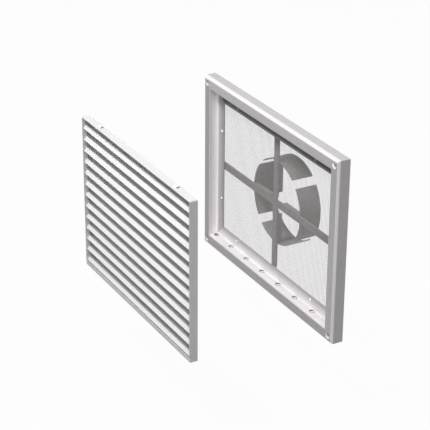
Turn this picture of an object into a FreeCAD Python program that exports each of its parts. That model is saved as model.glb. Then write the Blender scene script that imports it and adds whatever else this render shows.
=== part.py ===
# Wall ventilation grille: a wall frame with an insect mesh, a support cross and
# a four-tab duct spigot, and a louvre panel that is pulled straight out of it.
# Millimetres. X runs across the grille, +Y points into the wall, +Z is up.
# The origin is the middle of the frame's rear plane, on the spigot's axis.
import FreeCAD, Part
import math
import os

V = FreeCAD.Vector

# Wall frame: one bent profile, mitred at four corners
frame_width = 400.0
frame_height = 300.0
frame_depth = 21.0
frame_wall = 1.4
frame_bend = 4.8
flange_width = 18.5
flange_edge_radius = 1.0
ledge_width = 20.8
ledge_fillet = 3.0

# Wall screws, countersunk in the corners, and the cleats behind them
screw_inset = 10.2
screw_hole_radius = 2.6
countersink_radius = 5.2
cleat_arm = 46.0
cleat_clearance = 0.1

# Drain holes in the bottom member's inner wall
drain_radius = 3.2
drain_pitch = 50.6
drain_end_margin = 4.0
drain_setback = 12.2

# Insect mesh, as thick as two crossing wires and drawn with large gaps
mesh_wire = 0.4
mesh_overlap = 16.0
mesh_strand = 1.4
mesh_gaps_across = 12
mesh_gaps_up = 10

# Rivets that hold the mesh to the ledge
rivet_head_radius = 2.7
rivet_head_height = 1.8
rivet_offset = 4.0
rivet_shank_radius = 1.6
rivet_tail_height = 0.8
rivet_clearance = 0.05
rivet_margin_x = 85.0
rivet_margin_z = 90.0

# Support cross behind the mesh, a folded sheet with side legs
cross_depth = 2.6
cross_sheet = 1.2
arm_width = 13.0
arm_overlap = 13.0
leg_start = 12.0
leg_end_gap = 1.0

# Duct spigot: four arc tabs, each with a foot nested in an arm
spigot_radius = 70.5
spigot_length = 37.0
tab_sheet = 1.2
tab_half_angle = 39.0
foot_start = 18.5
foot_height = 7.5
foot_clearance = 0.1

# Louvre panel
panel_clearance = 3.0
panel_depth = 12.8
panel_wall = 1.4
panel_edge_radius = 0.8
panel_recess = 1.2
panel_travel = 229.6
side_lip = 2.0
bottom_lip = 6.5

# Slats: a sloping face and an upright lip behind it
slat_pitch = 19.1
slat_first = 8.2
slat_setback = 1.6
slat_rise = 6.2
slat_lip = 6.6
slat_sheet = 1.2
slat_bend_radius = 0.6
slat_top_room = 4.0

# Spring clips on the panel's top
clip_width = 10.0
clip_sheet = 0.6
clip_gap = 0.3
clip_margin = 53.5
clip_foot = 1.6
clip_crest = 1.4
clip_drop = 1.6
clip_edge = 0.6

# How far cutting shapes reach past a wall, and how near a line its edges are looked for
cut_past = 1.0
edge_search = 0.01

# Places worked out from the sizes above
half_width = frame_width / 2
half_height = frame_height / 2
front = -frame_depth
mesh_thickness = 2 * mesh_wire
ledge_back = -cross_depth - mesh_thickness
ledge_front = ledge_back - frame_wall
opening_half_width = half_width - flange_width
opening_half_height = half_height - flange_width
window_half_width = opening_half_width - ledge_width
window_half_height = opening_half_height - ledge_width
rivet_line = flange_width + ledge_width / 2 + rivet_offset
panel_half_width = opening_half_width - panel_clearance
panel_half_height = opening_half_height - panel_clearance
panel_front = front + panel_recess - panel_travel
panel_back = panel_front + panel_depth


def box(x0, x1, y0, y1, z0, z1):
    """A block between two corners."""
    return Part.makeBox(x1 - x0, y1 - y0, z1 - z0, V(x0, y0, z0))


def rod(radius, x, z, y0, y1):
    """A round bar along Y."""
    return Part.makeCylinder(radius, y1 - y0, V(x, y0, z), V(0, 1, 0))


def turned(shape, degrees):
    """A copy turned about the Y axis."""
    copy = shape.copy()
    copy.rotate(V(0, 0, 0), V(0, 1, 0), degrees)
    return copy


def extruded(points, direction):
    """A closed polygon pushed along a direction."""
    wire = Part.makePolygon(points + [points[0]])
    return Part.Face(wire).extrude(direction)


def edges_along_x(shape, y, z):
    """The shape's edges that lie on the line along X through one point."""
    found = []
    for edge in shape.Edges:
        middle = edge.BoundBox.Center
        if max(abs(middle.y - y), abs(middle.z - z), edge.BoundBox.YLength, edge.BoundBox.ZLength) < edge_search:
            found.append(edge)
    return found


def save(shape, name):
    """Write one piece to its own file."""
    shape.exportStep("parts/" + name + ".step")
    print(name, "solids", len(shape.Solids), "valid", shape.isValid(), "volume", round(shape.Volume, 1))


def corner_places(inset):
    """The four points at one inset from the frame's corners."""
    x = half_width - inset
    z = half_height - inset
    return [(-x, z), (x, z), (-x, -z), (x, -z)]


def profile_face(x, span):
    """The frame's section at x: outer wall, front flange, inner wall and ledge.

    Distances in the section are u, inwards from the outer edge, and y."""
    def at(u, y):
        return V(x, y, u - span)

    def line(a, b):
        return Part.LineSegment(a, b).toShape()

    def arc(centre_u, centre_y, radius, start, end):
        points = []
        for degrees in (start, (start + end) / 2, end):
            angle = math.radians(degrees)
            points.append(at(centre_u + radius * math.cos(angle), centre_y + radius * math.sin(angle)))
        return Part.Arc(*points).toShape(), points[0], points[2]

    wall = frame_wall
    bend, bend_a, bend_b = arc(frame_bend, front + frame_bend, frame_bend, 180, 270)
    edge_u = flange_width - flange_edge_radius
    edge, edge_a, edge_b = arc(edge_u, front + flange_edge_radius, flange_edge_radius, 270, 360)
    hollow_u = flange_width + ledge_fillet
    hollow_y = ledge_front - ledge_fillet
    fillet, fillet_a, fillet_b = arc(hollow_u, hollow_y, ledge_fillet, 180, 90)
    back, back_a, back_b = arc(hollow_u, hollow_y, ledge_fillet + wall, 90, 180)
    inside, inside_a, inside_b = arc(frame_bend, front + frame_bend, frame_bend - wall, 270, 180)
    ledge_u = flange_width + ledge_width
    rear_outer = at(0, 0)
    rear_inner = at(wall, 0)
    tip_front = at(ledge_u, ledge_front)
    tip_back = at(ledge_u, ledge_back)
    corner = at(flange_width - wall, front + wall)
    edges = [line(rear_outer, bend_a), bend, line(bend_b, edge_a), edge, line(edge_b, fillet_a), fillet]
    edges += [line(fillet_b, tip_front), line(tip_front, tip_back), line(tip_back, back_a), back]
    edges += [line(back_b, corner), line(corner, inside_a), inside, line(inside_b, rear_inner)]
    edges += [line(rear_inner, rear_outer)]
    return Part.Face(Part.Wire(edges))


def frame_member(length, span):
    """A mitred length of the profile, lying along the bottom at z = -span."""
    half = length / 2
    bar = profile_face(-half, span).extrude(V(length, 0, 0))
    reach = flange_width + ledge_width
    corners = [V(-half, front, -span), V(half, front, -span)]
    corners += [V(half - reach, front, reach - span), V(reach - half, front, reach - span)]
    return bar.common(extruded(corners, V(0, frame_depth, 0)))


def screw_cutters():
    """Countersunk screw holes through the front flange."""
    cutters = []
    cone_height = countersink_radius - screw_hole_radius
    for x, z in corner_places(screw_inset):
        hole = rod(screw_hole_radius, x, z, front, front + frame_bend)
        cone = Part.makeCone(countersink_radius, screw_hole_radius, cone_height, V(x, front, z), V(0, 1, 0))
        cutters.append(hole.fuse(cone))
    return cutters


def drain_places():
    """Evenly pitched drain positions across the bottom."""
    room = 2 * (opening_half_width - drain_end_margin)
    gaps = int(room / drain_pitch)
    return [(i - gaps / 2) * drain_pitch for i in range(gaps + 1)]


def rivet_places():
    """Two rivets on each side of the ledge."""
    across = half_width - rivet_margin_x
    up = half_height - rivet_margin_z
    side = half_width - rivet_line
    end = half_height - rivet_line
    places = [(sx * across, sz * end) for sx in (-1, 1) for sz in (-1, 1)]
    places += [(sx * side, sz * up) for sx in (-1, 1) for sz in (-1, 1)]
    return places


def frame_members():
    """The four sides, with their screw, drain and rivet holes."""
    sides = {"frame_bottom": frame_member(frame_width, half_height)}
    sides["frame_top"] = turned(sides["frame_bottom"], 180)
    sides["frame_left"] = turned(frame_member(frame_height, half_width), 90)
    sides["frame_right"] = turned(frame_member(frame_height, half_width), -90)
    hole_radius = rivet_shank_radius + rivet_clearance
    cutters = screw_cutters()
    cutters += [rod(hole_radius, x, z, ledge_front - cut_past, ledge_back + cut_past) for x, z in rivet_places()]
    drain_y = front + drain_setback
    drain_z = -opening_half_height - frame_wall - cut_past
    drain_length = frame_wall + 2 * cut_past
    drains = [Part.makeCylinder(drain_radius, drain_length, V(x, drain_y, drain_z)) for x in drain_places()]
    sides["frame_bottom"] = sides["frame_bottom"].cut(drains)
    return {name: side.cut(cutters) for name, side in sides.items()}


def corner_cleats():
    """An angle block in each hollow corner, which the wall screw passes through."""
    low = frame_wall + cleat_clearance
    high = flange_width - frame_wall - cleat_clearance
    step = front + frame_bend
    face = front + frame_wall

    def angle(start, y0, y1):
        across = box(start, cleat_arm, y0, y1, start, high)
        up = box(start, high, y0, y1, start, cleat_arm)
        return across.fuse(up)

    block = angle(low, step, 0).fuse(angle(frame_bend, face, step))
    bore = rod(screw_hole_radius, screw_inset, screw_inset, front - cut_past, cut_past)
    # The countersink reaches past the flange into the block
    cone = Part.makeCone(countersink_radius, screw_hole_radius, countersink_radius - screw_hole_radius,
                         V(screw_inset, front, screw_inset), V(0, 1, 0))
    block = block.cut(bore).cut(cone).removeSplitter()
    block.translate(V(-half_width, 0, -half_height))
    left_right = V(1, 0, 0)
    top_bottom = V(0, 0, 1)
    cleats = {"cleat_bottom_left": block, "cleat_bottom_right": block.mirror(V(0, 0, 0), left_right)}
    cleats["cleat_top_left"] = block.mirror(V(0, 0, 0), top_bottom)
    cleats["cleat_top_right"] = cleats["cleat_top_left"].mirror(V(0, 0, 0), left_right)
    return cleats


def rectangle(x0, x1, z0, z1, y):
    """A closed rectangular wire facing along Y."""
    corners = [V(x0, y, z0), V(x1, y, z0), V(x1, y, z1), V(x0, y, z1), V(x0, y, z0)]
    return Part.makePolygon(corners)


def insect_mesh():
    """A thin sheet behind the ledge, with a grid of gaps over the window."""
    half_x = window_half_width + mesh_overlap
    half_z = window_half_height + mesh_overlap
    pitch_x = 2 * window_half_width / mesh_gaps_across
    pitch_z = 2 * window_half_height / mesh_gaps_up
    rim = mesh_strand / 2
    wires = [rectangle(-half_x, half_x, -half_z, half_z, ledge_back)]
    for column in range(mesh_gaps_across):
        for row in range(mesh_gaps_up):
            x = -window_half_width + column * pitch_x
            z = -window_half_height + row * pitch_z
            wires.append(rectangle(x + rim, x + pitch_x - rim, z + rim, z + pitch_z - rim, ledge_back))
    sheet = Part.Face(wires[0])
    sheet = sheet.cut([Part.Face(wire) for wire in wires[1:]])
    sheet = sheet.Faces[0].extrude(V(0, mesh_thickness, 0))
    hole_radius = rivet_shank_radius + rivet_clearance
    return sheet.cut([rod(hole_radius, x, z, ledge_back - cut_past, cut_past) for x, z in rivet_places()])


def mesh_rivets():
    """Domed rivets through the ledge and the mesh."""
    rivets = []
    mesh_back = ledge_back + mesh_thickness
    # A spherical cap of the head's radius and height
    ball = (rivet_head_radius ** 2 + rivet_head_height ** 2) / (2 * rivet_head_height)
    for x, z in rivet_places():
        centre = V(x, ledge_front - rivet_head_height + ball, z)
        head = Part.makeSphere(ball, centre).common(
            rod(rivet_head_radius, x, z, ledge_front - rivet_head_height, ledge_front))
        shank = rod(rivet_shank_radius, x, z, ledge_front, mesh_back)
        tail = rod(rivet_head_radius, x, z, mesh_back, mesh_back + rivet_tail_height)
        rivets.append(head.fuse([shank, tail]).removeSplitter())
    return Part.makeCompound(rivets)


def cross_arm(reach, window):
    """One arm along +X: a flat strip with a leg folded back along each side."""
    flat = box(0, reach, -cross_depth, cross_sheet - cross_depth, -arm_width / 2, arm_width / 2)
    inner = arm_width / 2 - cross_sheet
    legs = [box(leg_start, window - leg_end_gap, -cross_depth, 0, min(side * inner, side * arm_width / 2),
                max(side * inner, side * arm_width / 2)) for side in (-1, 1)]
    return flat.fuse(legs)


def support_cross():
    """The cross of four arms, whose flat ends lie behind the ledge."""
    across = cross_arm(window_half_width + arm_overlap, window_half_width)
    upright = cross_arm(window_half_height + arm_overlap, window_half_height)
    arms = [across, turned(across, 180), turned(upright, 90), turned(upright, -90)]
    return arms[0].fuse(arms[1:]).removeSplitter()


def spigot_tab():
    """The tab on the +X arm: an arc of the spigot and its channel-shaped foot."""
    ring = rod(spigot_radius, 0, 0, 0, spigot_length).cut(rod(spigot_radius - tab_sheet, 0, 0, 0, spigot_length))
    reach = 2 * spigot_radius
    spread = reach * math.tan(math.radians(tab_half_angle))
    wedge = extruded([V(0, 0, 0), V(reach, 0, spread), V(reach, 0, -spread)], V(0, spigot_length, 0))
    arc = ring.common(wedge)
    half = arm_width / 2 - cross_sheet - foot_clearance
    bed = cross_sheet - cross_depth
    end = spigot_radius - tab_sheet / 2
    base = box(foot_start, end, bed, bed + tab_sheet, -half, half)
    webs = [box(foot_start, end, bed, foot_height, min(side * half, side * (half - tab_sheet)),
                max(side * half, side * (half - tab_sheet))) for side in (-1, 1)]
    return arc.fuse([base] + webs).removeSplitter()


def spigot_tabs():
    """Four equal tabs round the spigot's axis."""
    tab = spigot_tab()
    angles = {"spigot_tab_right": 0, "spigot_tab_bottom": 90, "spigot_tab_left": 180, "spigot_tab_top": 270}
    return {name: turned(tab, angle) for name, angle in angles.items()}


def panel_envelope():
    """The block that the panel's outside fits, with its front edges rounded."""
    w = panel_half_width
    h = panel_half_height
    block = box(-w, w, panel_front, panel_back, -h, h)
    edges = [edge for edge in block.Edges if edge.BoundBox.YMax < panel_front + panel_edge_radius]
    return block.makeFillet(panel_edge_radius, edges)


def panel_rails():
    """Top and bottom rails over the full width, and stiles between them."""
    w = panel_half_width
    h = panel_half_height
    inner_front = panel_front + panel_wall
    top = box(-w, w, panel_front, panel_back, h - panel_wall, h)
    bottom = box(-w, w, panel_front, panel_back, -h, panel_wall - h)
    bottom = bottom.fuse(box(-w, w, panel_front, inner_front, -h, bottom_lip - h)).removeSplitter()
    plate = box(-w, panel_wall - w, inner_front, panel_back, panel_wall - h, h - panel_wall)
    lip = box(-w, side_lip - w, panel_front, inner_front, bottom_lip - h, h - panel_wall)
    stile = plate.fuse(lip).removeSplitter()
    envelope = panel_envelope()
    rails = {"louvre_top_rail": top, "louvre_bottom_rail": bottom, "louvre_left_stile": stile}
    rails = {name: rail.common(envelope) for name, rail in rails.items()}
    rails["louvre_right_stile"] = rails["louvre_left_stile"].mirror(V(0, 0, 0), V(1, 0, 0))
    return rails


def slat():
    """One slat at height zero: a 45 degree face and an upright lip."""
    x = panel_wall - panel_half_width
    skew = slat_sheet / math.sqrt(2)
    near = panel_front + slat_setback
    bend = near + slat_rise
    back = bend + slat_sheet
    section = [V(x, near, 0), V(x, bend, slat_rise), V(x, bend, slat_rise + slat_lip)]
    knee = back - near - 2 * skew
    section += [V(x, back, slat_rise + slat_lip), V(x, back, knee), V(x, near + skew, -skew)]
    blade = extruded(section, V(-2 * x, 0, 0))
    inside = edges_along_x(blade, bend, slat_rise)
    outside = edges_along_x(blade, back, knee)
    return blade.makeFillet(slat_bend_radius, inside).makeFillet(slat_bend_radius + slat_sheet, outside)


def slats():
    """As many slats as the panel's height has room for, from the bottom up."""
    room = 2 * panel_half_height - slat_first - slat_rise - slat_lip - panel_wall - slat_top_room
    count = int(room / slat_pitch) + 1
    blades = {}
    for i in range(count):
        blade = slat()
        blade.translate(V(0, 0, slat_first + i * slat_pitch - panel_half_height))
        blades["slat_%02d" % (i + 1)] = blade
    return blades


def spring_clips():
    """Two bowed strips on the top rail, which press against the frame."""
    crest = panel_clearance - clip_gap - clip_sheet
    end = panel_back - clip_edge
    down = end - clip_foot
    start = panel_front + slat_setback
    up = start + clip_foot
    peak = down - clip_drop
    line = [(start, 0), (up, 0), (peak - clip_crest, crest), (peak, crest), (down, 0), (end, 0)]
    over = [(y, z + clip_sheet) for y, z in reversed(line)]
    clips = {}
    for name, side in (("clip_left", -1), ("clip_right", 1)):
        x = side * (panel_half_width - clip_margin) - clip_width / 2
        points = [V(x, y, panel_half_height + z) for y, z in line + over]
        clips[name] = extruded(points, V(clip_width, 0, 0))
    return clips


os.makedirs("parts", exist_ok=True)
pieces = frame_members()
pieces.update(corner_cleats())
pieces["insect_mesh"] = insect_mesh()
pieces["mesh_rivets"] = mesh_rivets()
pieces["support_cross"] = support_cross()
pieces.update(spigot_tabs())
pieces.update(panel_rails())
pieces.update(slats())
pieces.update(spring_clips())
for name, shape in pieces.items():
    save(shape, name)
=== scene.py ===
import math

import bpy
import numpy as np
from mathutils import Matrix, Vector


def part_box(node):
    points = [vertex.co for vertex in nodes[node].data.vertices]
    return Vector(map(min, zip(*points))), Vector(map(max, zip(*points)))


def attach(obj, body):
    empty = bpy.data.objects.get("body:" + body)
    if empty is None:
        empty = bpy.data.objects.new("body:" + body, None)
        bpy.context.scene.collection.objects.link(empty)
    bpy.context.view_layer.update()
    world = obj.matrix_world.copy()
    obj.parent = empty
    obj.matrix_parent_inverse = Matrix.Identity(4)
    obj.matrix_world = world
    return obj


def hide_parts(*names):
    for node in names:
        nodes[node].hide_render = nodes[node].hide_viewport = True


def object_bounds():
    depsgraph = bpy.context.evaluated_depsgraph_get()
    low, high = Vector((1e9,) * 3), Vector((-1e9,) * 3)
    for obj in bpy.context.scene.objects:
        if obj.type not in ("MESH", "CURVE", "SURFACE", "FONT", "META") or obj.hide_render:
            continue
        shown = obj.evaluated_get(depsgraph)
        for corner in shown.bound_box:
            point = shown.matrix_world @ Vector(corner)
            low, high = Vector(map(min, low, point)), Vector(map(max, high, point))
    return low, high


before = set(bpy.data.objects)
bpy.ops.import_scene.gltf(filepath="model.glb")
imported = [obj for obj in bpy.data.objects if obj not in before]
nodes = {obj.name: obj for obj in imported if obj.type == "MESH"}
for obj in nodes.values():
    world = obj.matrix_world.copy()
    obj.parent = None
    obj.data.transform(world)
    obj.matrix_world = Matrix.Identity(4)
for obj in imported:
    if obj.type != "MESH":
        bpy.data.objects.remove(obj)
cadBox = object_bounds()
print("frame loaded with", len(nodes), "nodes")


# Shader groups: each one is built once and placed in the materials with its own values

def newGroup(name, inputs, outputs):
    group = bpy.data.node_groups.new(name, "ShaderNodeTree")
    for label, kind, value in inputs:
        socket = group.interface.new_socket(name=label, in_out="INPUT", socket_type=kind)
        socket.default_value = value
    for label, kind in outputs:
        group.interface.new_socket(name=label, in_out="OUTPUT", socket_type=kind)
    enter = group.nodes.new("NodeGroupInput")
    leave = group.nodes.new("NodeGroupOutput")
    return group, enter, leave


def addNode(tree, kind, values=None, **settings):
    node = tree.nodes.new(kind)
    for key, value in settings.items():
        setattr(node, key, value)
    for key, value in (values or {}).items():
        node.inputs[key].default_value = value
    return node


def addGroup(tree, group, values):
    # The group has to be in the node before its inputs exist
    placed = tree.nodes.new("ShaderNodeGroup")
    placed.node_tree = group
    for label, value in values.items():
        placed.inputs[label].default_value = value
    return placed


def feed(tree, socket, source):
    # A number becomes the socket's own value, and anything else is linked to it
    if isinstance(source, (int, float)):
        socket.default_value = source
    else:
        tree.links.new(source, socket)


def mathNode(tree, operation, first, second, clamp=False):
    node = addNode(tree, "ShaderNodeMath", operation=operation, use_clamp=clamp)
    feed(tree, node.inputs[0], first)
    feed(tree, node.inputs[1], second)
    return node.outputs[0]


def stretchedNoise(tree, vector, stretch, detail, roughness):
    # Noise over the vector times the stretch, so a small stretch draws long streaks
    scaled = addNode(tree, "ShaderNodeVectorMath", operation="MULTIPLY")
    tree.links.new(vector, scaled.inputs[0])
    tree.links.new(stretch, scaled.inputs[1])
    noise = addNode(tree, "ShaderNodeTexNoise", {"Scale": 1.0, "Detail": detail, "Roughness": roughness})
    tree.links.new(scaled.outputs[0], noise.inputs["Vector"])
    return noise.outputs["Fac"]


def scaleColor(tree, color, factor):
    scale = addNode(tree, "ShaderNodeVectorMath", operation="SCALE")
    tree.links.new(color, scale.inputs[0])
    tree.links.new(factor, scale.inputs["Scale"])
    return scale.outputs[0]


def shadeBy(tree, color, share, strength):
    # The colour times 1 + strength * (share - 0.5) * 2
    centred = mathNode(tree, "SUBTRACT", share, 0.5)
    doubled = mathNode(tree, "MULTIPLY", centred, 2.0)
    swing = mathNode(tree, "MULTIPLY", doubled, strength)
    return scaleColor(tree, color, mathNode(tree, "ADD", swing, 1.0))


def makeGrainGroup():
    # Satin metal: fine streaks along one direction over slow clouds of tone
    group, enter, leave = newGroup("satinGrain", [
        ("Vector", "NodeSocketVector", (0, 0, 0)),
        ("Streak Stretch", "NodeSocketVector", (40, 1500, 1500)),
        ("Cloud Stretch", "NodeSocketVector", (9, 14, 14)),
        ("Color", "NodeSocketColor", (0.5, 0.5, 0.5, 1)),
        ("Tone Swing", "NodeSocketFloat", 0.03),
        ("Cloud Swing", "NodeSocketFloat", 0.03),
        ("Roughness", "NodeSocketFloat", 0.4),
        ("Roughness Swing", "NodeSocketFloat", 0.1)],
        [("Color", "NodeSocketColor"), ("Roughness", "NodeSocketFloat"), ("Height", "NodeSocketFloat")])
    streaks = stretchedNoise(group, enter.outputs["Vector"], enter.outputs["Streak Stretch"], 3.0, 0.6)
    clouds = stretchedNoise(group, enter.outputs["Vector"], enter.outputs["Cloud Stretch"], 2.0, 0.5)
    toned = shadeBy(group, enter.outputs["Color"], streaks, enter.outputs["Tone Swing"])
    clouded = shadeBy(group, toned, clouds, enter.outputs["Cloud Swing"])
    group.links.new(clouded, leave.inputs["Color"])
    centred = mathNode(group, "SUBTRACT", streaks, 0.5)
    swing = mathNode(group, "MULTIPLY", centred, enter.outputs["Roughness Swing"])
    rough = mathNode(group, "ADD", swing, enter.outputs["Roughness"], clamp=True)
    group.links.new(rough, leave.inputs["Roughness"])
    group.links.new(streaks, leave.inputs["Height"])
    return group


def makeZincGroup():
    # Galvanised sheet: crystals as cells, each with its own tone, and fine pitting
    crystalRoughness = 0.16
    group, enter, leave = newGroup("zincCrystals", [
        ("Vector", "NodeSocketVector", (0, 0, 0)),
        ("Crystal Scale", "NodeSocketFloat", 260.0),
        ("Pit Scale", "NodeSocketFloat", 1800.0),
        ("Color", "NodeSocketColor", (0.3, 0.3, 0.3, 1)),
        ("Crystal Swing", "NodeSocketFloat", 0.12),
        ("Pit Swing", "NodeSocketFloat", 0.05),
        ("Roughness", "NodeSocketFloat", 0.5)],
        [("Color", "NodeSocketColor"), ("Roughness", "NodeSocketFloat"), ("Height", "NodeSocketFloat")])
    cells = addNode(group, "ShaderNodeTexVoronoi", {"Randomness": 1.0})
    group.links.new(enter.outputs["Vector"], cells.inputs["Vector"])
    group.links.new(enter.outputs["Crystal Scale"], cells.inputs["Scale"])
    split = addNode(group, "ShaderNodeSeparateColor")
    group.links.new(cells.outputs["Color"], split.inputs[0])
    pits = addNode(group, "ShaderNodeTexNoise", {"Detail": 2.0, "Roughness": 0.6})
    group.links.new(enter.outputs["Vector"], pits.inputs["Vector"])
    group.links.new(enter.outputs["Pit Scale"], pits.inputs["Scale"])
    toned = shadeBy(group, enter.outputs["Color"], split.outputs[0], enter.outputs["Crystal Swing"])
    pitted = shadeBy(group, toned, pits.outputs["Fac"], enter.outputs["Pit Swing"])
    group.links.new(pitted, leave.inputs["Color"])
    swing = mathNode(group, "MULTIPLY", split.outputs[1], crystalRoughness)
    rough = mathNode(group, "ADD", swing, enter.outputs["Roughness"], clamp=True)
    group.links.new(rough, leave.inputs["Roughness"])
    group.links.new(pits.outputs["Fac"], leave.inputs["Height"])
    return group


def rampNode(tree, value, start, end, low=0.0, high=1.0):
    # Goes from low at the start to high at the end, and stays level outside
    ramp = addNode(tree, "ShaderNodeMapRange")
    tree.links.new(value, ramp.inputs["Value"])
    for source, label in ((start, "From Min"), (end, "From Max"), (low, "To Min"), (high, "To Max")):
        feed(tree, ramp.inputs[label], source)
    return ramp.outputs["Result"]


def withinBox(tree, split, width, height, front, back):
    # 1 inside the box |x| < width, |z| < height, front < y < back
    share = None
    for axis, operation, limit in (("X", "LESS_THAN", width), ("Z", "LESS_THAN", height),
                                   ("Y", "GREATER_THAN", front), ("Y", "LESS_THAN", back)):
        value = split.outputs[axis]
        if axis != "Y":
            value = mathNode(tree, "ABSOLUTE", value, 0.0)
        test = mathNode(tree, operation, value, limit)
        share = test if share is None else mathNode(tree, "MULTIPLY", share, test)
    return share


def startToneGroup(name, *labels):
    # A tone group takes the place, the colour so far, and its own lengths and tones
    inputs = [("Vector", "NodeSocketVector", (0, 0, 0)), ("Color", "NodeSocketColor", (0.5, 0.5, 0.5, 1))]
    inputs += [(label, "NodeSocketFloat", 1.0) for label in labels]
    group, enter, leave = newGroup(name, inputs, [("Color", "NodeSocketColor")])
    split = addNode(group, "ShaderNodeSeparateXYZ")
    group.links.new(enter.outputs["Vector"], split.inputs[0])
    return group, enter.outputs, leave, split


def makeBoxGroup():
    # One tone for everything inside a box round the origin
    group, given, leave, split = startToneGroup(
        "boxTone", "Half Width", "Half Height", "Front", "Back", "Tone")
    share = withinBox(group, split, given["Half Width"], given["Half Height"], given["Front"], given["Back"])
    factor = rampNode(group, share, 0.0, 1.0, 1.0, given["Tone"])
    group.links.new(scaleColor(group, given["Color"], factor), leave.inputs["Color"])
    return group


def makeInsideGroup():
    # The inner faces throw light at each other: the walls go from the front tone to the wall tone, which
    # they reach a little before the back, and the ledge from the corner tone beside the walls to the
    # ledge tone at its free edge
    levelDepth = 0.006
    cornerStart, cornerEnd = 0.0004, 0.003
    group, given, leave, split = startToneGroup(
        "insideTone", "Half Width", "Half Height", "Front", "Back", "Ledge Start", "Ledge Width",
        "Front Tone", "Wall Tone", "Corner Tone", "Ledge Tone")
    inside = withinBox(group, split, given["Half Width"], given["Half Height"], given["Front"], given["Back"])
    deep = mathNode(group, "SUBTRACT", given["Back"], levelDepth)
    walls = rampNode(group, split.outputs["Y"], given["Front"], deep, given["Front Tone"], given["Wall Tone"])
    insets = []
    for axis, half in (("X", "Half Width"), ("Z", "Half Height")):
        size = mathNode(group, "ABSOLUTE", split.outputs[axis], 0.0)
        insets.append(mathNode(group, "SUBTRACT", given[half], size))
    inset = mathNode(group, "MINIMUM", *insets)
    ledge = rampNode(group, inset, given["Ledge Start"], given["Ledge Width"],
                     given["Corner Tone"], given["Ledge Tone"])
    both = rampNode(group, inset, cornerStart, cornerEnd, walls, ledge)
    excess = mathNode(group, "SUBTRACT", both, 1.0)
    factor = mathNode(group, "ADD", mathNode(group, "MULTIPLY", excess, inside), 1.0)
    group.links.new(scaleColor(group, given["Color"], factor), leave.inputs["Color"])
    return group


def makeSpotGroup():
    # One tone for oval spots in a row along X: painted shade round the rim of each drain. The spot's edge is
    # soft: it fades while the squared distance, in half lengths and half depths, grows past the fade.
    fadeStart, fadeEnd = 0.7, 1.3
    group, given, leave, split = startToneGroup(
        "spotTone", "Pitch", "Half Length", "Half Depth", "Half Height", "Tone")
    halfPitch = mathNode(group, "MULTIPLY", given["Pitch"], 0.5)
    beside = mathNode(group, "PINGPONG", split.outputs["X"], halfPitch)
    shares = [mathNode(group, "DIVIDE", beside, given["Half Length"]),
              mathNode(group, "DIVIDE", split.outputs["Y"], given["Half Depth"])]
    squares = [mathNode(group, "MULTIPLY", share, share) for share in shares]
    away = mathNode(group, "ADD", *squares)
    height = mathNode(group, "ABSOLUTE", split.outputs["Z"], 0.0)
    near = mathNode(group, "LESS_THAN", height, given["Half Height"])
    drainShade = rampNode(group, away, fadeStart, fadeEnd, 1.0, 0.0)
    factor = rampNode(group, mathNode(group, "MULTIPLY", drainShade, near), 0.0, 1.0, 1.0, given["Tone"])
    group.links.new(scaleColor(group, given["Color"], factor), leave.inputs["Color"])
    return group


def makeFoldGroup():
    # A folded edge gets a painted highlight, and painted shade where its tone is below 1: beyond the fold's
    # start in X or Z, and as far back as the depth, the tone changes by its own factor
    group, given, leave, split = startToneGroup(
        "foldTone", "Start Width", "Start Height", "Depth", "Fade", "Tone")
    ramps = []
    for axis, start in (("X", "Start Width"), ("Z", "Start Height")):
        size = mathNode(group, "ABSOLUTE", split.outputs[axis], 0.0)
        end = mathNode(group, "ADD", given[start], given["Fade"])
        ramps.append(rampNode(group, size, given[start], end))
    nearer = mathNode(group, "SUBTRACT", given["Depth"], given["Fade"])
    before = rampNode(group, split.outputs["Y"], nearer, given["Depth"], 1.0, 0.0)
    share = mathNode(group, "MULTIPLY", mathNode(group, "MAXIMUM", *ramps), before)
    factor = rampNode(group, share, 0.0, 1.0, 1.0, given["Tone"])
    group.links.new(scaleColor(group, given["Color"], factor), leave.inputs["Color"])
    return group


satinGrain = makeGrainGroup()
zincCrystals = makeZincGroup()
insideTone = makeInsideGroup()
foldTone = makeFoldGroup()
boxTone = makeBoxGroup()
spotTone = makeSpotGroup()
print("shader groups made")


# Materials

bumpDistance = 0.0001


def startMaterial(name, look):
    material = bpy.data.materials.new(name)
    material.use_nodes = True
    tree = material.node_tree
    shader = tree.nodes["Principled BSDF"]
    shader.inputs["Metallic"].default_value = look["metallic"]
    shader.inputs["Specular IOR Level"].default_value = look["specular"]
    coordinates = addNode(tree, "ShaderNodeTexCoord")
    bump = addNode(tree, "ShaderNodeBump", {"Strength": look["bump"], "Distance": bumpDistance})
    tree.links.new(bump.outputs[0], shader.inputs["Normal"])
    return material, tree, shader, coordinates.outputs["Object"], bump


def placeGroup(tree, group, vector, shader, bump, values):
    placed = addGroup(tree, group, values)
    tree.links.new(vector, placed.inputs["Vector"])
    tree.links.new(placed.outputs["Color"], shader.inputs["Base Color"])
    tree.links.new(placed.outputs["Roughness"], shader.inputs["Roughness"])
    tree.links.new(placed.outputs["Height"], bump.inputs["Height"])


# Which way the rolled or brushed grain runs, as streaks for each metre along X, Y and Z
grainAlong = {"x": (45, 1600, 1600), "y": (1600, 45, 1600), "z": (1600, 1600, 45)}


def satinMetal(name, look, along):
    material, tree, shader, vector, bump = startMaterial(name, look)
    placeGroup(tree, satinGrain, vector, shader, bump, {
        "Streak Stretch": grainAlong[along],
        "Cloud Stretch": look["clouds"],
        "Color": (*look["color"], 1),
        "Tone Swing": look["toneSwing"],
        "Cloud Swing": look["cloudSwing"],
        "Roughness": look["roughness"],
        "Roughness Swing": look["roughnessSwing"]})
    return material


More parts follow.
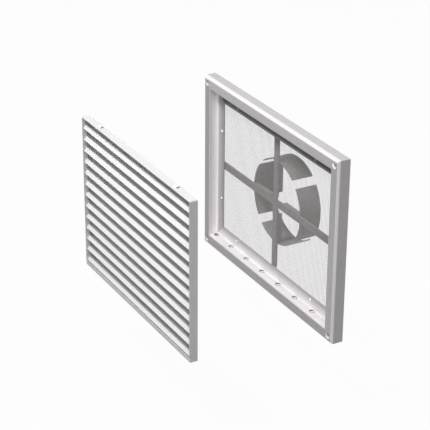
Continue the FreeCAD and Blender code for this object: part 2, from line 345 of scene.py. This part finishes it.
def addTone(material, group, values, centre=(0, 0, 0)):
    # Puts a tone group between the colour so far and the shader, measured from the centre
    tree = material.node_tree
    shader = tree.nodes["Principled BSDF"]
    toned = addGroup(tree, group, values)
    coordinates = next(node for node in tree.nodes if node.type == "TEX_COORD")
    moved = addNode(tree, "ShaderNodeVectorMath", {1: centre}, operation="SUBTRACT")
    tree.links.new(coordinates.outputs["Object"], moved.inputs[0])
    tree.links.new(moved.outputs[0], toned.inputs["Vector"])
    tree.links.new(shader.inputs["Base Color"].links[0].from_socket, toned.inputs["Color"])
    tree.links.new(toned.outputs["Color"], shader.inputs["Base Color"])
    return material


def zincSheet(name, look):
    material, tree, shader, vector, bump = startMaterial(name, look)
    placeGroup(tree, zincCrystals, vector, shader, bump, {
        "Crystal Scale": look["crystals"],
        "Color": (*look["color"], 1),
        "Crystal Swing": look["crystalSwing"],
        "Pit Swing": look["pitSwing"],
        "Roughness": look["roughness"]})
    return material


# Colours and finishes. A swing is how far the grain's streaks or clouds change the tone or roughness.
frameLook = {
    "color": (0.479, 0.459, 0.467), "metallic": 0.10, "specular": 0.30, "roughness": 0.28,
    "roughnessSwing": 0.06, "toneSwing": 0.05, "cloudSwing": 0.03, "clouds": (9, 14, 14), "bump": 0.05}
panelLook = {
    "color": (0.64, 0.627, 0.636), "metallic": 0.05, "specular": 0.25, "roughness": 0.32,
    "roughnessSwing": 0.06, "toneSwing": 0.05, "cloudSwing": 0.03, "clouds": (9, 14, 14), "bump": 0.05}
slatLook = {
    "color": (0.735, 0.722, 0.731), "metallic": 0.0, "specular": 0.15, "roughness": 0.38,
    "roughnessSwing": 0.08, "toneSwing": 0.04, "cloudSwing": 0.02, "clouds": (6, 14, 14), "bump": 0.04}
cleatLook = {
    "color": (0.50, 0.50, 0.51), "metallic": 0.1, "specular": 0.3, "roughness": 0.5,
    "roughnessSwing": 0.12, "toneSwing": 0.08, "cloudSwing": 0.05, "clouds": (30, 30, 30), "bump": 0.12}
rivetLook = {
    "color": (0.97, 0.96, 0.97), "metallic": 0.0, "specular": 1.0, "roughness": 0.3,
    "roughnessSwing": 0.06, "toneSwing": 0.03, "cloudSwing": 0.02, "clouds": (60, 60, 60), "bump": 0.02}
springLook = {
    "color": (0.74, 0.735, 0.74), "metallic": 0.1, "specular": 0.3, "roughness": 0.3,
    "roughnessSwing": 0.06, "toneSwing": 0.03, "cloudSwing": 0.02, "clouds": (60, 60, 60), "bump": 0.02}
wireLook = {
    "color": (0.39, 0.362, 0.36), "metallic": 0.0, "specular": 0.3, "roughness": 0.4,
    "roughnessSwing": 0.1, "toneSwing": 0.08, "cloudSwing": 0.04, "clouds": (60, 60, 60), "bump": 0.03}
bracketLook = {
    "color": (0.315, 0.295, 0.30), "metallic": 0.0, "specular": 0.3, "roughness": 0.45,
    "crystals": 240, "crystalSwing": 0.10, "pitSwing": 0.06, "bump": 0.06}

# Where the frame's and the panel's inner faces and folds lie, taken from the pieces themselves
frameLow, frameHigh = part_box("frame_top")
meshLow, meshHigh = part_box("insect_mesh")
panelLow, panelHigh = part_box("louvre_top_rail")
slatLow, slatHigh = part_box("slat_01")
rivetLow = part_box("mesh_rivets")[0]

# The frame's profile: how wide its flange is, how thick its sheet, and how far in from the outside the
# screw sinks' zone and the fold's painted highlight start
flangeWidth = 0.0185
sheet = 0.0014
foldSize = 0.0048
foldFront = 0.0034

# Where the other zones of painted light and shade begin: the stiles below the panel's edge, the lips behind a
# slat's front, the rivets' feet behind their heads, the row of drains behind the frame's front, and the ledge
# past its corner
railEdge = 0.0010
lipStart = 0.0053
headDepth = 0.0013
drainDepth = 0.0122
ledgeStart = 0.003

# The rivets within this height of the top of the mesh lie in the shade. A box has no limit where it is
# given as wide, and a hair keeps its sides clear of the faces.
shadedHeight = 0.03
wide = 1.0
hair = 0.0001

# Painted light and shade on the frame's inner walls and ledges, from each member's inside tones
frameInside = {
    "Half Width": frameHigh.x - flangeWidth + hair, "Half Height": frameHigh.z - flangeWidth + hair,
    "Front": frameLow.y + sheet - hair, "Back": meshLow.y, "Ledge Width": 0.0208}
# Painted highlight and shade along the frame's folds, with the factor given per member
frameFold = {
    "Start Width": frameHigh.x - foldFront, "Start Height": frameHigh.z - foldFront, "Fade": 0.0006}
# Painted shade on every face inside the frame behind its front sheet
cavity = {
    "Half Width": frameHigh.x - sheet + hair, "Half Height": frameHigh.z - sheet + hair,
    "Front": frameLow.y + sheet - hair, "Back": frameHigh.y + hair, "Tone": 0.7}
# Painted light on the faces within the front sheet's thickness, as on the screw sinks' cones
screwSinks = {
    "Half Width": frameHigh.x - foldSize, "Half Height": frameHigh.z - foldSize,
    "Front": frameLow.y + hair, "Back": frameLow.y + sheet - hair, "Tone": 1.9}
# Painted light and shade on each member's front face, with the factor given per member
frontFace = {
    "Half Width": frameHigh.x - foldFront, "Half Height": frameHigh.z - foldFront,
    "Front": -wide, "Back": frameLow.y + hair}
# Painted light and shade on the inner walls' front edges, from each member's edge tone
wallFronts = {
    **screwSinks, "Half Width": frameInside["Half Width"], "Half Height": frameInside["Half Height"]}
# Painted light on the stiles' inner faces between the slats
panelInside = {
    "Half Width": slatHigh.x + 3 * hair, "Half Height": panelHigh.z - railEdge,
    "Front": panelLow.y + sheet, "Back": panelHigh.y, "Tone": 1.02}
# Painted shadow on each slat's upright lip, under the slat above
slatLips = {
    "Half Width": wide, "Half Height": wide,
    "Front": slatLow.y + lipStart, "Back": slatHigh.y + hair, "Tone": 0.44}
# Lower slats: a darker colour, a wider painted shadow on the lip, and a paler one
lowSlats = {"darker": 0.05, "wider": 0.0012, "paler": 0.09}
# Painted shadow at the feet of the rivet heads
rivetFeet = {
    "Half Width": wide, "Half Height": wide, "Front": rivetLow.y + headDepth, "Back": wide, "Tone": 0.3}
shadedRivets = {
    "Half Width": wide, "Half Height": shadedHeight, "Front": -wide, "Back": wide, "Tone": 0.2}
# Painted shade round the drains in the bottom member's floor
drains = {
    "Pitch": 0.0506, "Half Length": 0.0052, "Half Depth": 0.0042, "Half Height": 0.0009, "Tone": 0.2}
drainMiddle = (drains["Pitch"] / 2, frameLow.y + drainDepth, flangeWidth - sheet / 2 - frameHigh.z)

# The members' grain direction, the whole member's tone, and the tones of its face, fold, front edges and
# inner faces: painted light and shade, as each member and face is lit differently
members = {
    "frame_top": {
        "along": "x", "member": 1.06, "face": 0.94, "fold": 1.56, "foldDepth": 0.0062, "edge": 0.6,
        "Front Tone": 0.6, "Wall Tone": 0.25, "Corner Tone": 0.09, "Ledge Tone": 0.6, "Ledge Start": 0.0165},
    "frame_bottom": {
        "along": "x", "member": 0.78, "face": 0.96, "fold": 0.75, "foldDepth": 0.0062, "edge": 1.0,
        "Front Tone": 2.15, "Wall Tone": 1.75, "Corner Tone": 2.5, "Ledge Tone": 1.05},
    "frame_left": {
        "along": "z", "member": 0.74, "face": 0.96, "fold": 1.1, "foldDepth": 0.0062, "edge": 1.9,
        "Front Tone": 1.9, "Wall Tone": 2.65, "Corner Tone": 1.5, "Ledge Tone": 1.0},
    "frame_right": {
        "along": "z", "member": 0.75, "face": 1.14, "fold": 1.75, "foldDepth": 0.0045, "edge": 1.9,
        "Front Tone": 1.9, "Wall Tone": 2.3, "Corner Tone": 1.8, "Ledge Tone": 1.3},
}
# Each panel rail and stile: its grain direction, and a painted light and shade tone for the whole side
panelSides = {
    "louvre_top_rail": {"along": "x", "member": 1.11},
    "louvre_bottom_rail": {"along": "x", "member": 0.85},
    "louvre_left_stile": {"along": "z", "member": 0.85},
    "louvre_right_stile": {"along": "z", "member": 0.72},
}


def dress(names, material):
    for name in names:
        slots = nodes[name].data.materials
        slots.clear()
        slots.append(material)


def named(start):
    return [name for name in sorted(nodes) if name.startswith(start)]


# A copy of a look with its colour scaled, for painted light and shade
def litOrShaded(look, share):
    return {**look, "color": [value * share for value in look["color"]]}


for name, member in members.items():
    # The tones of the inner faces are given for the bare colour, so the cavity's tone is taken out of them
    metal = satinMetal(name + "Satin", litOrShaded(frameLook, member["member"]), member["along"])
    tones = {key: value / cavity["Tone"] for key, value in member.items() if key.endswith("Tone")}
    addTone(metal, boxTone, {**frontFace, "Tone": member["face"]})
    addTone(metal, boxTone, screwSinks)
    addTone(metal, boxTone, {**wallFronts, "Tone": member["edge"] / screwSinks["Tone"]})
    addTone(metal, boxTone, cavity)
    addTone(metal, insideTone, {**frameInside, "Ledge Start": member.get("Ledge Start", ledgeStart), **tones})
    addTone(metal, foldTone, {**frameFold, "Depth": frameLow.y + member["foldDepth"], "Tone": member["fold"]})
    if name == "frame_bottom":
        addTone(metal, spotTone, drains, drainMiddle)
    dress([name], metal)
for name, side in panelSides.items():
    metal = satinMetal(name + "Satin", litOrShaded(panelLook, side["member"]), side["along"])
    if side["along"] == "z":
        addTone(metal, boxTone, panelInside)
    dress([name], metal)
dress(named("cleat_"), satinMetal("cleatSawn", cleatLook, "y"))
rivetMetal = satinMetal("rivetHeads", rivetLook, "x")
addTone(rivetMetal, boxTone, rivetFeet)
addTone(rivetMetal, boxTone, shadedRivets, (0, 0, meshHigh.z))
dress(["mesh_rivets"], rivetMetal)
dress(["support_cross"] + named("spigot_"), zincSheet("bracketZinc", bracketLook))
for place, name in enumerate(named("slat_")):
    # The lower a slat, the deeper it lies in the shade of the one above
    low = 1 - place / (len(named("slat_")) - 1)
    metal = satinMetal(name + "Satin", litOrShaded(slatLook, 1 - lowSlats["darker"] * low), "x")
    shade = {**slatLips, "Front": slatLips["Front"] - lowSlats["wider"] * low,
             "Tone": slatLips["Tone"] + lowSlats["paler"] * low}
    dress([name], addTone(metal, boxTone, shade))
dress(named("clip_"), satinMetal("springStrip", springLook, "y"))
print("materials dressed")


# Insect mesh: round wires in plain weave, where each wire rides over one crossing wire and under the next

weave = {"pitch": 0.00345, "wire": 0.0004, "sides": 6, "stepsPerPitch": 2}


def weaveCounts(low, high):
    # How many whole pitches fit across and up
    across = int((high.x - low.x - weave["wire"]) / weave["pitch"])
    up = int((high.z - low.z - weave["wire"]) / weave["pitch"])
    return across, up


def wovenSet(name, gaps, crossings, start, middle, side, material):
    # side 0: wires along X spaced in Z. side 1: wires along Z spaced in X. There is one wire more than gaps.
    # Centre line: y = middle + swing * cos(pi * (crossing + wire)), so neighbours are half a wave apart.
    # Tube: a ring of points round the centre line at every step.
    pitch, radius, ring = weave["pitch"], weave["wire"] / 2, weave["sides"]
    steps = crossings * weave["stepsPerPitch"] + 1
    shape = (gaps + 1, steps, ring)
    wire = np.arange(gaps + 1)[:, None, None]
    crossing = np.arange(steps)[None, :, None] / weave["stepsPerPitch"]
    angle = np.linspace(0, 2 * np.pi, ring, endpoint=False)[None, None, :]
    swing = radius if side else -radius
    along = np.broadcast_to(start[side] + crossing * pitch, shape)
    spread = np.broadcast_to(start[1 - side] + wire * pitch + radius * np.cos(angle), shape)
    depth = middle + swing * np.cos(np.pi * (crossing + wire)) + radius * np.sin(angle)
    order = (spread, depth, along) if side else (along, depth, spread)
    points = np.stack(order, -1).reshape(-1, 3)

    wireIndex, stepIndex, corner = np.meshgrid(
        np.arange(gaps + 1), np.arange(steps - 1), np.arange(ring), indexing="ij")
    here = (wireIndex * steps + stepIndex) * ring
    following = (corner + 1) % ring
    quads = np.stack([here + corner, here + following, here + ring + following, here + ring + corner], -1)
    first = np.arange(gaps + 1)[:, None] * steps * ring
    startCaps = first + np.arange(ring)
    endCaps = first + (steps - 1) * ring + np.arange(ring)
    faces = quads.reshape(-1, 4).tolist() + startCaps.tolist() + endCaps[:, ::-1].tolist()
    mesh = bpy.data.meshes.new(name)
    mesh.from_pydata(points, [], faces)
    mesh.materials.append(material)
    mesh.shade_smooth()
    piece = bpy.data.objects.new(name, mesh)
    bpy.context.scene.collection.objects.link(piece)
    return piece


def turnOutwards(piece):
    # Recalculates the faces so that they point out of each wire
    bpy.context.view_layer.objects.active = piece
    bpy.ops.object.select_all(action="DESELECT")
    piece.select_set(True)
    bpy.ops.object.mode_set(mode="EDIT")
    bpy.ops.mesh.select_all(action="SELECT")
    bpy.ops.mesh.normals_make_consistent(inside=False)
    bpy.ops.object.mode_set(mode="OBJECT")


across, up = weaveCounts(meshLow, meshHigh)
weaveMiddle = (meshLow.y + meshHigh.y) / 2
weaveStart = (-across * weave["pitch"] / 2, -up * weave["pitch"] / 2)
wireAcross = satinMetal("wireAcross", wireLook, "x")
weft = wovenSet("mesh_weft_wires", up, across, weaveStart, weaveMiddle, 0, wireAcross)
wireUpright = satinMetal("wireUpright", wireLook, "z")
warp = wovenSet("mesh_warp_wires", across, up, weaveStart, weaveMiddle, 1, wireUpright)
for wires in (weft, warp):
    turnOutwards(wires)
    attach(wires, "wall_frame")
    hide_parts("insect_mesh")
print("insect mesh woven,", across + 1, "by", up + 1, "wires")


# Camera: where the photographer stood, worked out from the straight edges in the picture

photoView = {
    "azimuth": 60.959, "elevation": 25.460, "roll": 0.375, "sensorWidth": 36, "focalPixels": 1597.0,
    "imagePixels": 430, "distance": 2.55966, "aimRight": 0.07733, "aimUp": -0.11944,
    "aimPoint": (0, -0.021, -0.150)}


def makeCamera():
    # The view's axes come from azimuth, elevation and roll. The camera stands back along its own axis
    # from the aim point, moved sideways and up by the aim values.
    azimuth, elevation, roll = (math.radians(photoView[key]) for key in ("azimuth", "elevation", "roll"))
    right = Vector((math.cos(azimuth), math.sin(azimuth), 0))
    level = math.cos(elevation)
    back = Vector((math.sin(azimuth) * level, -math.cos(azimuth) * level, math.sin(elevation)))
    up = back.cross(right)
    rolledRight = right * math.cos(roll) + up * math.sin(roll)
    rolledUp = up * math.cos(roll) - right * math.sin(roll)
    place = Vector(photoView["aimPoint"]) + back * photoView["distance"]
    place -= rolledRight * photoView["aimRight"] + rolledUp * photoView["aimUp"]
    data = bpy.data.cameras.new("photoCamera")
    data.sensor_width = photoView["sensorWidth"]
    data.lens = data.sensor_width * photoView["focalPixels"] / photoView["imagePixels"]
    camera = bpy.data.objects.new("photoCamera", data)
    turn = Matrix((rolledRight, rolledUp, back)).transposed()
    camera.matrix_world = Matrix.Translation(place) @ turn.to_4x4()
    bpy.context.scene.collection.objects.link(camera)
    bpy.context.scene.camera = camera


makeCamera()


# Studio: a pale floor, a white surround and soft lamps

lamps = {
    "keyLamp": {"azimuth": 0, "elevation": 65, "distance": 2.6, "size": 0.5, "power": 64},
    "leftLamp": {"azimuth": -77, "elevation": 15, "distance": 2.4, "size": 2.0, "power": 13.5},
    "rightLamp": {"azimuth": 74, "elevation": 20, "distance": 2.4, "size": 1.2, "power": 26},
    "backLamp": {"azimuth": 170, "elevation": 12, "distance": 2.4, "size": 2.0, "power": 14},
}
surround = {"light": 0.06, "floorDrop": 0.12, "floorReach": 12.0, "floorWhite": 0.97, "floorTone": 0.4}


def makeLamps():
    middle = (cadBox[0] + cadBox[1]) / 2
    for name, lamp in lamps.items():
        azimuth, elevation = math.radians(lamp["azimuth"]), math.radians(lamp["elevation"])
        level = math.cos(elevation)
        away = Vector((math.sin(azimuth) * level, -math.cos(azimuth) * level, math.sin(elevation)))
        data = bpy.data.lights.new(name, "AREA")
        data.shape = "SQUARE"
        data.size = lamp["size"]
        data.energy = lamp["power"]
        lampObject = bpy.data.objects.new(name, data)
        lampObject.location = middle + away * lamp["distance"]
        lampObject.rotation_mode = "QUATERNION"
        lampObject.rotation_quaternion = away.to_track_quat("Z", "Y")
        bpy.context.scene.collection.objects.link(lampObject)


def seenRays(tree):
    # 1 where the camera, a reflection or a clear material looks, 0 for light that falls on the object
    path = addNode(tree, "ShaderNodeLightPath")
    seen = mathNode(tree, "MAXIMUM", path.outputs["Is Camera Ray"], path.outputs["Is Glossy Ray"])
    return mathNode(tree, "MAXIMUM", seen, path.outputs["Is Transmission Ray"])


def makeSurround():
    world = bpy.data.worlds.new("whiteSurround")
    bpy.context.scene.world = world
    world.use_nodes = True
    tree = world.node_tree
    light = tree.nodes["Background"]
    light.inputs["Color"].default_value = (1, 1, 1, 1)
    light.inputs["Strength"].default_value = surround["light"]
    white = addNode(tree, "ShaderNodeBackground", {"Color": (1, 1, 1, 1), "Strength": 1.0})
    mix = addNode(tree, "ShaderNodeMixShader")
    tree.links.new(seenRays(tree), mix.inputs[0])
    tree.links.new(light.outputs[0], mix.inputs[1])
    tree.links.new(white.outputs[0], mix.inputs[2])
    tree.links.new(mix.outputs[0], tree.nodes["World Output"].inputs["Surface"])


def makeFloor():
    # A flat sheet below the grille. Seen directly it is mostly a white glow, and the rest keeps the shadow.
    height = cadBox[0].z - surround["floorDrop"]
    reach = surround["floorReach"]
    mesh = bpy.data.meshes.new("studioFloor")
    corners = [(x * reach, y * reach, height) for x, y in ((-1, -1), (1, -1), (1, 1), (-1, 1))]
    mesh.from_pydata(corners, [], [(0, 1, 2, 3)])
    floor = bpy.data.objects.new("studioFloor", mesh)
    bpy.context.scene.collection.objects.link(floor)
    material = bpy.data.materials.new("paleFloor")
    material.use_nodes = True
    tree = material.node_tree
    tree.nodes.remove(tree.nodes["Principled BSDF"])
    matt = addNode(tree, "ShaderNodeBsdfDiffuse", {"Color": (*[surround["floorTone"]] * 3, 1)})
    glow = addNode(tree, "ShaderNodeEmission", {"Color": (1, 1, 1, 1), "Strength": 1.0})
    mix = addNode(tree, "ShaderNodeMixShader")
    tree.links.new(mathNode(tree, "MULTIPLY", seenRays(tree), surround["floorWhite"]), mix.inputs[0])
    tree.links.new(matt.outputs[0], mix.inputs[1])
    tree.links.new(glow.outputs[0], mix.inputs[2])
    tree.links.new(mix.outputs[0], tree.nodes["Material Output"].inputs["Surface"])
    mesh.materials.append(material)


makeLamps()
makeSurround()
makeFloor()
bpy.context.scene.view_settings.view_transform = "Standard"
print("studio set")
